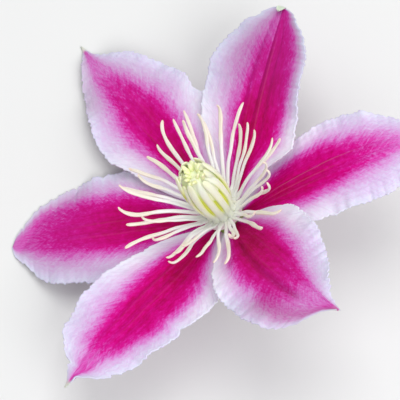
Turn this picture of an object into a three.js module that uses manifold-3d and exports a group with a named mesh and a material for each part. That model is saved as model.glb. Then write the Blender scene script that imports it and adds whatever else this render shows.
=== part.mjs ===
// Clematis flower, picked with a short stalk and laid down face up.
// Millimetres, +Z up. The surface it lies on is the plane z = 0.
// The flower is shaped in its own frame (its axis along +Z, receptacle at the origin),
// then leaned over as a whole until two sepal tips and the stalk touch the surface.
import * as THREE from "three";
import { mergeVertices } from "three/addons/utils/BufferGeometryUtils.js";
import Module from "manifold-3d";

const wasm = await Module();
wasm.setup();

// ---------- driving dimensions ----------
const LEAN = 25.5;              // degrees between the flower's axis and the vertical
const LEAN_TOWARDS = 147;       // compass of the lean, degrees from +X towards +Y
const TURN = -2.7;              // turn of the flower about its own axis, degrees
const REST_HEIGHT = 8.75;       // receptacle's origin above the surface

const BLADE = 0.7;              // thickness of a sepal
const ATTACH_RADIUS = 4.6;      // where the sepals start, from the axis
const LAYER_HEIGHT = 1.15;      // step between the overlapping layers of sepals
const FIRST_LAYER = 1.6;        // height of the lowest layer
const BASE_HALF_WIDTH = 2;
const TIP_HALF_WIDTH = 0.4;     // unless a sepal's row gives its own
const RIB_DEPTH = 0.3;          // grooves along the middle of each sepal

// Half widths of a sepal are given at these fractions of its length.
const STATIONS = [0.08, 0.18, 0.32, 0.48, 0.64, 0.78, 0.88, 0.95];

// One row for each sepal. towards: compass of its base, degrees. rise: mean slope, degrees.
// arch: how much steeper than that it starts, and flatter it ends. sweep: sideways shift of the tip.
// left, right: half widths at the stations, seen from above with the tip away from the viewer.
// roll: lift of the margins, waves: number, height and phase of the margin's waves.
const SEPALS = [
  {
    name: "sepal_upper_left", layer: 1, towards: 130.5, length: 55.5, rise: 14, arch: 12, sweep: 0,
    left: [4.6, 7.5, 10.2, 13.1, 10.6, 7.6, 3.8, 1.2], right: [4.5, 9, 14, 15, 12.7, 8.8, 3.7, 1],
    roll: [0.5, 0.5], waves: 3.5, waveHeight: 1, phase: 0.1,
  },
  {
    name: "sepal_top", layer: 2, towards: 67, length: 47, rise: 19, arch: 14, sweep: 2.8,
    left: [4.8, 8, 12.1, 14.3, 14.6, 12.5, 9.8, 5.7], right: [5, 7.5, 13.4, 12.7, 10.8, 10, 7.7, 4.4],
    roll: [-0.6, 0.8], waves: 2.5, waveHeight: 0.7, phase: 0.6, tipHalfWidth: 1.6,
  },
  {
    name: "sepal_right", layer: 0, towards: 15.5, length: 53.5, rise: 9, arch: 12, sweep: -1.5,
    left: [5.2, 9, 11, 13, 11.6, 7.3, 3.5, 1.6], right: [5, 8.7, 11.5, 12, 11.6, 9.4, 5, 2],
    roll: [-0.4, -0.4], waves: 3, waveHeight: 0.7, phase: 0.35,
  },
  {
    name: "sepal_lower_right", layer: 2, towards: -49.5, length: 48.4, rise: 21, arch: 14, sweep: 4.5,
    left: [6.5, 10, 12.9, 12.6, 9.7, 6.2, 2.6, 0.8], right: [5.5, 8.8, 12.6, 14.7, 14.6, 13.2, 8.8, 2.2],
    roll: [-0.8, -0.8], waves: 3, waveHeight: 0.9, phase: 0.8,
  },
  {
    name: "sepal_lower_left", layer: 1, towards: -120, length: 52.5, rise: 13.5, arch: 10, sweep: -3.5,
    left: [4.7, 9.8, 15.5, 14.6, 12.7, 10.3, 6.6, 1], right: [5.5, 8.5, 11.2, 13.6, 13, 10.9, 5.3, 1.8],
    roll: [0.3, 0.3], waves: 4, waveHeight: 0.6, phase: 0.55,
  },
  {
    name: "sepal_left", layer: 0, towards: 186, length: 49.2, rise: 9, arch: 12, sweep: 1.2,
    left: [4.6, 8.5, 12, 13.4, 13, 11.8, 8.3, 4.4], right: [4.4, 9, 14, 15.2, 14, 11.4, 8, 4.4],
    roll: [-0.6, -0.6], waves: 3, waveHeight: 0.7, phase: 0.2, tipHalfWidth: 1.6,
  },
];
const ROWS = 24;                // cells along a sepal
// Places of the grid lines across half a sepal, closer over the grooves.
const ACROSS = [0, 0.11, 0.22, 0.4, 0.62, 0.83, 1];

const RECEPTACLE_RADIUS = 4.1;
const RECEPTACLE_TOP = 5.5;
const STALK_RADIUS = 1.3;
const STALK_LOW_POINTS = [[10.5, -7.5], [16, -11.5], [21, -15.2]];   // x, y from the receptacle

const COLLAR_BOTTOM = 5.8;
const COLLAR_TOP = 7.2;
const COLLAR_OUTER = 5.3;
const COLLAR_INNER = 3.5;
const OUTER_STAMENS = 40;
const OUTER_LENGTH = 21.2;
const STRAP_WIDTH = 1;
const STRAP_THICKNESS = 0.65;

// Outline of the core inside the boss: radius, height.
const CORE = [[0, 5.8], [3.1, 5.8], [3.2, 7.4], [3.9, 11], [4.4, 16], [3.9, 20], [2.1, 22.7], [0, 23.2]];
const INNER_STAMENS = 24;
const INNER_LENGTH = 19.2;
const INNER_WIDTH = 1.95;
const STYLES = 14;
const SEED = 4711;
const SLIVER = 0.01;

// ---------- small helpers ----------
const radians = THREE.MathUtils.degToRad;
const WORLD_UP = new THREE.Vector3(0, 0, 1);

// Smooth curve through (at[i], values[i]) that never overshoots its points.
function smoothThrough(at, values, x) {
  let i = 0;
  while (i < at.length - 2 && x > at[i + 1]) i += 1;
  const slope = (k) => (values[k + 1] - values[k]) / (at[k + 1] - at[k]);
  const tangent = (k) => {
    if (k === 0) return slope(0);
    if (k === at.length - 1) return slope(k - 1);
    const before = slope(k - 1);
    const after = slope(k);
    return before * after <= 0 ? 0 : (2 * before * after) / (before + after);
  };
  const span = at[i + 1] - at[i];
  const t = (x - at[i]) / span;
  const startPart = (1 + 2 * t) * (1 - t) ** 2 * values[i] + t * (1 - t) ** 2 * span * tangent(i);
  const endPart = t * t * (3 - 2 * t) * values[i + 1] + t * t * (t - 1) * span * tangent(i + 1);
  return startPart + endPart;
}

// A repeatable draw between two limits.
let drawState = SEED;
function draw(low, high) {
  drawState = (drawState * 16807) % 2147483647;
  return low + ((high - low) * drawState) / 2147483647;
}

function toManifold(geometry) {
  const bare = geometry.clone();
  bare.deleteAttribute("normal");
  bare.deleteAttribute("uv");
  const merged = mergeVertices(bare, 1e-4);
  return new wasm.Manifold(new wasm.Mesh({
    numProp: 3,
    vertProperties: new Float32Array(merged.attributes.position.array),
    triVerts: new Uint32Array(merged.index.array),
  }));
}

function fromManifold(solid) {
  const mesh = solid.getMesh();
  const geometry = new THREE.BufferGeometry();
  geometry.setAttribute("position", new THREE.BufferAttribute(new Float32Array(mesh.vertProperties), 3));
  geometry.setIndex(new THREE.BufferAttribute(new Uint32Array(mesh.triVerts), 1));
  geometry.computeVertexNormals();
  return geometry;
}

// All the pieces of one grown body, joined into one solid. A hollow that is sealed between
// straps is a shell of its own with a negative volume; it is left out, which fills it.
// Slivers finer than SLIVER, left where straps cross, are evened out.
function fuse(geometries) {
  let solid = toManifold(geometries[0]);
  for (const geometry of geometries.slice(1)) solid = solid.add(toManifold(geometry));
  const outside = solid.decompose().filter((shell) => shell.volume() > 0);
  return fromManifold(wasm.Manifold.compose(outside).simplify(SLIVER));
}

// ---------- the whole flower's frame ----------
const flower = new THREE.Group();
flower.name = "clematis_flower";
const leanAxis = new THREE.Vector3(-Math.sin(radians(LEAN_TOWARDS)), Math.cos(radians(LEAN_TOWARDS)), 0);
flower.quaternion
  .setFromAxisAngle(leanAxis, radians(LEAN))
  .multiply(new THREE.Quaternion().setFromAxisAngle(WORLD_UP, radians(TURN)));
flower.position.set(0, 0, REST_HEIGHT);
flower.updateMatrixWorld();
const upInFlower = WORLD_UP.clone().applyQuaternion(flower.quaternion.clone().invert());

// How far a point of the flower's own frame lies under the surface.
function sunkBelow(point) {
  return Math.max(0, -(point.dot(upInFlower) + REST_HEIGHT));
}

// ---------- sepals ----------
// Radius and height of the midrib at each of many small steps from the base to the tip.
function midribOf(sepal) {
  const steps = 200;
  const places = [];
  let radius = ATTACH_RADIUS;
  let height = FIRST_LAYER + LAYER_HEIGHT * sepal.layer;
  for (let i = 0; i <= steps; i += 1) {
    const slope = radians(sepal.rise + sepal.arch * (1 - (2 * i) / steps));
    places.push({ radius, height, slope });
    radius += (Math.cos(slope) * sepal.length) / steps;
    height += (Math.sin(slope) * sepal.length) / steps;
  }
  return (along) => {
    const at = Math.min(along * steps, steps - 1e-6);
    const i = Math.floor(at);
    const mix = (key) => THREE.MathUtils.lerp(places[i][key], places[i + 1][key], at - i);
    return { radius: mix("radius"), height: mix("height"), slope: mix("slope") };
  };
}

// Waves of the margin, the roll of the two halves, and the grooves along the middle.
function reliefOf(sepal, along, across) {
  const out = Math.abs(across);
  const side = across > 0 ? 0 : 1;
  const free = THREE.MathUtils.smoothstep(along, 0.3, 0.65);
  const swell = Math.sin(Math.PI * along ** 0.8);
  const turns = sepal.waves * along + sepal.phase + 0.37 * side;
  const wave = sepal.waveHeight * out ** 3 * free * Math.sin(2 * Math.PI * turns);
  const roll = sepal.roll[side] * 2 * out ** 2 * swell * free;
  const groove = Math.cos(2 * Math.PI * Math.min(out, 0.33) / 0.22);
  const ribs = -RIB_DEPTH * 0.5 * groove * (1 - THREE.MathUtils.smoothstep(out, 0.22, 0.4)) * swell;
  return wave + roll + ribs;
}

// Middle surface of a sepal; across runs from -1 (right margin) to 1 (left margin).
function bladePoint(sepal, midrib, along, across) {
  const widths = across > 0 ? sepal.left : sepal.right;
  const at = [0, ...STATIONS, 1];
  const tip = sepal.tipHalfWidth ?? TIP_HALF_WIDTH;
  const halfWidth = smoothThrough(at, [BASE_HALF_WIDTH, ...widths, tip], along);
  const { radius, height, slope } = midrib(along);
  const shift = sepal.sweep * along ** 2;
  const sideways = shift + halfWidth * across;
  // The blade follows a bowl round the flower's axis, so that overlapping layers stay apart.
  const bowl = Math.tan(slope) * (Math.hypot(radius, sideways) - Math.hypot(radius, shift));
  const point = new THREE.Vector3(radius, sideways, height + bowl + reliefOf(sepal, along, across));
  return point.applyAxisAngle(WORLD_UP, radians(sepal.towards));
}

function sepalGeometry(sepal) {
  const midrib = midribOf(sepal);
  const columns = [...ACROSS.slice(1).reverse().map((v) => -v), ...ACROSS];
  const row = columns.length;
  const top = [];
  const bottom = [];
  const nudge = 1e-3;
  for (let i = 0; i <= ROWS; i += 1) {
    const along = i / ROWS;
    for (const across of columns) {
      const middle = bladePoint(sepal, midrib, along, across);
      const before = Math.max(along - nudge, 0);
      const after = Math.min(along + nudge, 1);
      const alongStep = bladePoint(sepal, midrib, after, across)
        .sub(bladePoint(sepal, midrib, before, across));
      const acrossStep = bladePoint(sepal, midrib, along, Math.min(across + 0.02, 1))
        .sub(bladePoint(sepal, midrib, along, Math.max(across - 0.02, -1)));
      const normal = alongStep.cross(acrossStep).normalize().multiplyScalar(BLADE / 2);
      const upper = middle.clone().add(normal);
      const lower = middle.clone().sub(normal);
      // Where the blade would sink into the surface, it is pressed up onto it.
      const sunk = Math.max(sunkBelow(lower), sunkBelow(upper));
      upper.addScaledVector(upInFlower, sunk);
      lower.addScaledVector(upInFlower, sunk);
      top.push(upper);
      bottom.push(lower);
    }
  }
  const count = top.length;
  const positions = [...top, ...bottom].flatMap((p) => [p.x, p.y, p.z]);
  const index = [];
  for (let i = 0; i < ROWS; i += 1) {
    for (let j = 0; j < row - 1; j += 1) {
      const a = i * row + j;
      const b = a + 1;
      const c = a + row;
      const d = c + 1;
      index.push(a, c, d, a, d, b);
      index.push(count + a, count + d, count + c, count + a, count + b, count + d);
    }
  }
  const wall = (a, b) => index.push(a, b, count + b, a, count + b, count + a);
  for (let j = 0; j < row - 1; j += 1) {
    wall(j, j + 1);
    wall(ROWS * row + j + 1, ROWS * row + j);
  }
  for (let i = 0; i < ROWS; i += 1) {
    wall((i + 1) * row, i * row);
    wall(i * row + row - 1, (i + 1) * row + row - 1);
  }
  const geometry = new THREE.BufferGeometry();
  geometry.setAttribute("position", new THREE.Float32BufferAttribute(positions, 3));
  geometry.setIndex(index);
  geometry.computeVertexNormals();
  return geometry;
}

// ---------- stamens ----------
// A flat strap along a curve: spine points, the sideways direction, and width at each point.
function strapGeometry(spine, side, widths, thickness) {
  const positions = [];
  const index = [];
  spine.forEach((point, i) => {
    const ahead = spine[Math.min(i + 1, spine.length - 1)].clone().sub(spine[Math.max(i - 1, 0)]);
    const face = ahead.clone().cross(side).normalize();
    const across = face.clone().cross(ahead).normalize();
    for (const [u, v] of [[-1, -1], [1, -1], [1, 1], [-1, 1]]) {
      const corner = point.clone()
        .addScaledVector(across, (u * widths[i]) / 2)
        .addScaledVector(face, (v * thickness) / 2);
      positions.push(corner.x, corner.y, corner.z);
    }
  });
  const last = (spine.length - 1) * 4;
  for (let i = 0; i < spine.length - 1; i += 1) {
    for (let k = 0; k < 4; k += 1) {
      const a = i * 4 + k;
      const b = i * 4 + ((k + 1) % 4);
      index.push(a, b, b + 4, a, b + 4, a + 4);
    }
  }
  index.push(0, 2, 1, 0, 3, 2);
  index.push(last, last + 1, last + 2, last, last + 2, last + 3);
  const geometry = new THREE.BufferGeometry();
  geometry.setAttribute("position", new THREE.Float32BufferAttribute(positions, 3));
  geometry.setIndex(index);
  return geometry;
}

// Spine of a stamen. It leaves its root at one slope, spreads at another, and its tip
// curls by hook (up) and curl (sideways) over the last part of its length.
function stamenSpine({ compass, radius, height, length, slopes, hook, sway, curl, joints }) {
  const start = radians(compass);
  const point = new THREE.Vector3(radius * Math.cos(start), radius * Math.sin(start), height);
  const spine = [point.clone()];
  for (let i = 0; i < joints; i += 1) {
    const t = (i + 0.5) / joints;
    const bend = Math.max(0, (t - 0.62) / 0.38) ** 1.5;
    const slope = radians(THREE.MathUtils.lerp(slopes[0], slopes[1], Math.min(1, t / 0.6)) + hook * bend);
    const heading = radians(compass + sway * t + curl * bend);
    const step = new THREE.Vector3(
      Math.cos(slope) * Math.cos(heading),
      Math.cos(slope) * Math.sin(heading),
      Math.sin(slope),
    );
    point.addScaledVector(step, length / joints);
    spine.push(point.clone());
  }
  return spine;
}

// A strap on a stamen's spine, its flat side facing the flower's axis.
function stamenGeometry(shape, widths) {
  const spine = stamenSpine(shape);
  const compass = radians(shape.compass);
  const sideways = new THREE.Vector3(-Math.sin(compass), Math.cos(compass), 0);
  return strapGeometry(spine, sideways, widths, STRAP_THICKNESS);
}

function outerStamensGeometry() {
  const collar = new THREE.LatheGeometry([
    new THREE.Vector2(COLLAR_INNER, COLLAR_BOTTOM),
    new THREE.Vector2(COLLAR_OUTER - 0.3, COLLAR_BOTTOM),
    new THREE.Vector2(COLLAR_OUTER, COLLAR_BOTTOM + 0.5),
    new THREE.Vector2(COLLAR_OUTER - 0.4, COLLAR_TOP),
    new THREE.Vector2(COLLAR_INNER, COLLAR_TOP),
    new THREE.Vector2(COLLAR_INNER, COLLAR_BOTTOM),
  ], 32).rotateX(Math.PI / 2);
  const pieces = [collar];
  const widths = [1, 1, 1, 1, 1.1, 1.15, 1, 0.65].map((w) => w * STRAP_WIDTH);
  for (let i = 0; i < OUTER_STAMENS; i += 1) {
    pieces.push(stamenGeometry({
      compass: (360 * (i + draw(0.1, 0.9))) / OUTER_STAMENS,
      joints: 7,
      radius: 4.4,
      height: 6.5,
      length: OUTER_LENGTH * draw(0.85, 1.08),
      slopes: [draw(50, 64), draw(20, 46)],
      hook: draw(-10, 48),
      sway: draw(-16, 16),
      curl: draw(-36, 36),
    }, widths));
  }
  return fuse(pieces);
}

// Broad erect straps close round the core, and the styles' thin tips curling out at its top.
function bossGeometry() {
  const core = new THREE.LatheGeometry(CORE.map(([r, z]) => new THREE.Vector2(r, z)), 18).rotateX(Math.PI / 2);
  const pieces = [core];
  const broad = [0.7, 0.85, 1, 1, 0.85, 0.6, 0.4].map((w) => w * INNER_WIDTH);
  for (let i = 0; i < INNER_STAMENS; i += 1) {
    const inside = i % 2 === 0;
    pieces.push(stamenGeometry({
      compass: (360 * (i + draw(0.3, 0.7))) / INNER_STAMENS,
      joints: 6,
      radius: inside ? 2.8 : 3,
      height: 7.6,
      length: INNER_LENGTH * draw(0.9, 1.05),
      slopes: [inside ? 74 : 70, draw(91, 96)],
      hook: draw(15, 60),
      sway: draw(-12, 12),
      curl: draw(-40, 40),
    }, broad));
  }
  const thin = [0.9, 0.9, 0.8, 0.7, 0.7];
  for (let i = 0; i < STYLES; i += 1) {
    pieces.push(stamenGeometry({
      compass: (360 * (i + draw(0.2, 0.8))) / STYLES,
      joints: 4,
      radius: draw(0.3, 2.1),
      height: 21.2,
      length: draw(4.5, 6.5),
      slopes: [85, 75],
      hook: draw(-90, 20),
      sway: draw(-40, 40),
      curl: draw(-60, 60),
    }, thin));
  }
  return fuse(pieces);
}

// ---------- receptacle and stalk ----------
function stalkGeometry() {
  const receptacle = new THREE.LatheGeometry([
    new THREE.Vector2(0, -4),
    new THREE.Vector2(1.2, -4),
    new THREE.Vector2(1.7, -2.2),
    new THREE.Vector2(3.2, -0.4),
    new THREE.Vector2(RECEPTACLE_RADIUS, 1),
    new THREE.Vector2(RECEPTACLE_RADIUS, RECEPTACLE_TOP - 0.7),
    new THREE.Vector2(RECEPTACLE_RADIUS - 0.7, RECEPTACLE_TOP),
    new THREE.Vector2(0, RECEPTACLE_TOP),
  ], 28).rotateX(Math.PI / 2);
  const lowPoints = STALK_LOW_POINTS.map(([x, y]) => flower.worldToLocal(new THREE.Vector3(x, y, STALK_RADIUS)));
  const path = new THREE.CatmullRomCurve3([
    new THREE.Vector3(0, 0, 0),
    new THREE.Vector3(0, 0, -2.5),
    ...lowPoints,
  ]);
  const round = new THREE.Shape();
  round.absarc(0, 0, STALK_RADIUS, 0, 2 * Math.PI);
  const stem = new THREE.ExtrudeGeometry(round, { steps: 20, curveSegments: 5, extrudePath: path });
  // The stalk lies on the surface with a narrow flat along its underside.
  const places = stem.attributes.position;
  for (let i = 0; i < places.count; i += 1) {
    const place = new THREE.Vector3().fromBufferAttribute(places, i);
    place.addScaledVector(upInFlower, sunkBelow(place));
    places.setXYZ(i, place.x, place.y, place.z);
  }
  return fuse([receptacle, stem]);
}

// ---------- assembly ----------
function addPiece(name, geometry, colour, roughness) {
  const material = new THREE.MeshStandardMaterial({ color: colour, roughness, metalness: 0 });
  const mesh = new THREE.Mesh(geometry, material);
  mesh.name = name;
  flower.add(mesh);
}

for (const sepal of SEPALS) addPiece(sepal.name, sepalGeometry(sepal), 0xd85ba4, 0.6);
addPiece("outer_stamens", outerStamensGeometry(), 0xeee8cf, 0.55);
addPiece("inner_stamens_and_styles", bossGeometry(), 0xe6e6b0, 0.55);
addPiece("receptacle_and_stalk", stalkGeometry(), 0x6d8f46, 0.7);

// The origin lies on the surface, under the middle of the whole flower's outline box.
flower.updateMatrixWorld(true);
const middle = new THREE.Box3().setFromObject(flower, true).getCenter(new THREE.Vector3());
flower.position.x -= middle.x;
flower.position.y -= middle.y;

const group = new THREE.Group();
group.add(flower);
export default group;
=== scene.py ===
"""A clematis flower, picked with a short stalk and laid down face up.

The flower is shaped in its own frame, in millimetres: its axis runs along +Z and the
receptacle stands at the origin. Pose then leans it over as a whole and turns it into
metres, in the frame of the solids that the pieces here replace.
"""
import logging
import math
from dataclasses import dataclass
from enum import Enum
from itertools import cycle

import bpy
import numpy as np
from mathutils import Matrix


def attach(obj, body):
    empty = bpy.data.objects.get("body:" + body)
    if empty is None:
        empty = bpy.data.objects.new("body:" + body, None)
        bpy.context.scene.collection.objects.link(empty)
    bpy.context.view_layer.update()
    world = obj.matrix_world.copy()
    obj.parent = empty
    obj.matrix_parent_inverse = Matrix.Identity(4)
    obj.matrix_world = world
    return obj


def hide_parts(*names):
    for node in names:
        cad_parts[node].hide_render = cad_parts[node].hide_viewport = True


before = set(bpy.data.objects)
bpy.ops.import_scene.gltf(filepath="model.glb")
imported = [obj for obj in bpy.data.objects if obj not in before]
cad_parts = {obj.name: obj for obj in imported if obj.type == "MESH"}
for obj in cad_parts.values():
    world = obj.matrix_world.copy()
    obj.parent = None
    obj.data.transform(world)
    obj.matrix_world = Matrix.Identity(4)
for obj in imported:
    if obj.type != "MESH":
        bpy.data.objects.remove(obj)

log = logging.getLogger("clematis_flower")

Array = np.ndarray
Piece = bpy.types.Object
Row = tuple[float, ...]
Rows = tuple[Row, ...]
Colour = tuple[float, float, float]

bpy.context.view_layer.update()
BODY = "root"
SEED = 4711
MM = 0.001
FULL_TURN = 2 * math.pi
UP = np.array([0.0, 0.0, 1.0])


# ---------------------------------------------------------------- numbers and curves


class Draws:
    """A repeatable stream of draws, the same one that places the stamens' solids."""

    FACTOR = 16807
    CYCLE = 2147483647

    def __init__(self, seed: int) -> None:
        """Start the stream at a whole number, which fixes all of it."""
        self.state = seed

    def between(self, low: float, high: float) -> float:
        """Return the next draw, a number between the two limits."""
        self.state = self.state * self.FACTOR % self.CYCLE
        return low + (high - low) * self.state / self.CYCLE


def smoothstep(x: Array, low: float, high: float) -> Array:
    """Ease from 0 where x is low to 1 where it is high."""
    t = np.clip((x - low) / (high - low), 0.0, 1.0)
    return t * t * (3 - 2 * t)


def window(x: Array, rise: Row, fall: Row) -> Array:
    """Ease from 0 to 1 between the two places in rise, and back to 0 between those in fall."""
    return smoothstep(x, *rise) * (1 - smoothstep(x, *fall))


def round_end(reach: Array, left_over: float) -> Array:
    """Fall on a quarter circle from 1 to almost 0 as reach goes from 0 to 1."""
    return np.sqrt(1 - (1 - left_over) * np.clip(reach, 0, 1) ** 2)


def hermite(at: Array, values: Array, tangents: Array, x: Array) -> Array:
    """Read the cubic curve that has the given values and tangents at its knots.

    Args:
        at: Rising places of the knots.
        values: Values at the knots.
        tangents: Tangents at the knots.
        x: Where to read the curve.

    Returns:
        The curve's values at x.
    """
    i = np.clip(np.searchsorted(at, x, side="right") - 1, 0, len(at) - 2)
    span = at[i + 1] - at[i]
    t = (x - at[i]) / span
    start = (1 - t) ** 2 * ((1 + 2 * t) * values[i] + t * span * tangents[i])
    end = t * t * ((3 - 2 * t) * values[i + 1] + (t - 1) * span * tangents[i + 1])
    return start + end


def smooth_through(at: Row, values: Row, x: Array) -> Array:
    """Follow a smooth curve through points without overshooting them.

    Args:
        at: Rising places of the points.
        values: Values at those places.
        x: Where to read the curve.

    Returns:
        The curve's values at x.
    """
    places, heights = np.asarray(at, float), np.asarray(values, float)
    slopes = np.diff(heights) / np.diff(places)
    tangents = np.concatenate([slopes[:1], np.zeros(len(slopes) - 1), slopes[-1:]])
    before, after = slopes[:-1], slopes[1:]
    same_way = before * after > 0
    tangents[1:-1][same_way] = (2 * before * after)[same_way] / (before + after)[same_way]
    return hermite(places, heights, tangents, x)


def smooth_line(at: Array, points: Array, x: Array) -> Array:
    """Follow a smooth line in space that passes through points at the places at."""
    tangents = np.gradient(points, at, axis=0)
    return np.stack([hermite(at, points[:, k], tangents[:, k], x) for k in range(3)], 1)


def ripple(x: Array, waves: Rows, seed: int) -> Array:
    """Add up waves with seeded phases and drifting lengths, as an uneven edge has.

    Args:
        x: Distance along the edge.
        waves: Length and height of each wave, in the unit of x.
        seed: Fixes the phases.

    Returns:
        The summed waves at x.
    """
    drift_share, drift_length = 0.35, 1.7
    phases = np.random.default_rng(seed).uniform(0, FULL_TURN, (len(waves), 2))
    total = np.zeros_like(x)
    for (length, height), (phase, drift) in zip(waves, phases):
        warped = x + drift_share * length * np.sin(x / (drift_length * length) + drift)
        total = total + height * np.sin(FULL_TURN * warped / length + phase)
    return total


def running(steps: Array) -> Array:
    """Add steps up one by one, starting from 0."""
    return np.concatenate([[0.0], np.cumsum(steps)])


def walked(points: Array) -> Array:
    """Return how far along the line through points each of them lies."""
    return running(np.linalg.norm(np.diff(points, axis=0), axis=1))


def unit(rows: Array) -> Array:
    """Make each row 1 long."""
    return rows / np.linalg.norm(rows, axis=1)[:, None]


def level(degrees: float) -> Array:
    """Return the level direction at an angle from +X, 1 long."""
    return np.array([math.cos(math.radians(degrees)), math.sin(math.radians(degrees)), 0.0])


@dataclass(frozen=True)
class Pose:
    """How the whole flower leans on the surface that it lies on.

    Angles are in degrees, lengths in millimetres.
    """

    lean: float = 25.5
    lean_towards: float = 147.0
    turn: float = -2.7
    height: float = 8.75
    place: tuple[float, float] = (1.7348, -4.0755)

    def rotation(self) -> Array:
        """Return the matrix that turns the flower's frame into the room's."""
        x, y, _ = level(self.lean_towards + 90)
        cross = np.array([[0, 0, y], [0, 0, -x], [-y, x, 0]])
        lean = math.radians(self.lean)
        leaned = np.eye(3) + math.sin(lean) * cross + (1 - math.cos(lean)) * cross @ cross
        return leaned @ np.array([level(self.turn), level(self.turn + 90), UP]).T

    def foot(self) -> Array:
        """Return where the receptacle stands in the room, in millimetres."""
        return np.array([*self.place, self.height])

    def to_room(self, points: Array, clear: float = -math.inf) -> Array:
        """Move points from the flower's frame into the room.

        Args:
            points: Points in the flower's frame, in millimetres.
            clear: Points lower than this above the surface are pressed up to it.

        Returns:
            The points in metres.
        """
        room = points @ self.rotation().T + self.foot()
        room[:, 2] = np.maximum(room[:, 2], clear)
        return room * MM

    def to_flower(self, points: Array) -> Array:
        """Move points of the room, in millimetres, into the flower's frame."""
        return (points - self.foot()) @ self.rotation()


# ---------------------------------------------------------------- shader expressions


class Value:
    """A shader socket that takes part in Python expressions."""

    def __init__(self, board: "Board", socket: bpy.types.NodeSocket) -> None:
        """Wrap an output socket of a board."""
        self.board = board
        self.socket = socket

    def _with(self, operation: str, first: object, second: object) -> "Value":
        """Join two values or numbers by one Math node."""
        return self.board.node("ShaderNodeMath", {"operation": operation}, {0: first, 1: second})

    def __add__(self, other: object) -> "Value":
        """Add."""
        return self._with("ADD", self, other)

    def __sub__(self, other: object) -> "Value":
        """Subtract."""
        return self._with("SUBTRACT", self, other)

    def __rsub__(self, other: object) -> "Value":
        """Subtract from a number."""
        return self._with("SUBTRACT", other, self)

    def __mul__(self, other: object) -> "Value":
        """Multiply."""
        return self._with("MULTIPLY", self, other)

    __radd__ = __add__
    __rmul__ = __mul__

    def size(self) -> "Value":
        """Return the value without its sign."""
        return self._with("ABSOLUTE", self, 0.0)

    def swing(self, share: object) -> "Value":
        """Return how far the value lies from 0.5, times a share."""
        return (self - 0.5) * share

    def eased(self, low: float, high: float) -> "Value":
        """Ease from 0 at low to 1 at high."""
        span = {"Value": self, "From Min": low, "From Max": high}
        return self.board.node("ShaderNodeMapRange", {"interpolation_type": "SMOOTHSTEP"}, span)

    def fading(self, low: float, high: float) -> "Value":
        """Ease from 1 at low to 0 at high."""
        return 1.0 - self.eased(low, high)


@dataclass(frozen=True)
class Surface:
    """How a surface takes light. Depths and heights are in metres.

    uneven is how much the roughness follows the grain, and bump how strong the bump is.
    """

    roughness: float
    specular: float
    scatter: float
    scatter_depth: float
    scatter_radius: tuple[float, float, float] = (1.0, 0.2, 0.1)
    sheen: float = 0.0
    sheen_roughness: float = 0.5
    uneven: float = 0.2
    bump: float = 0.5
    bump_height: float = 0.0002


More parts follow.
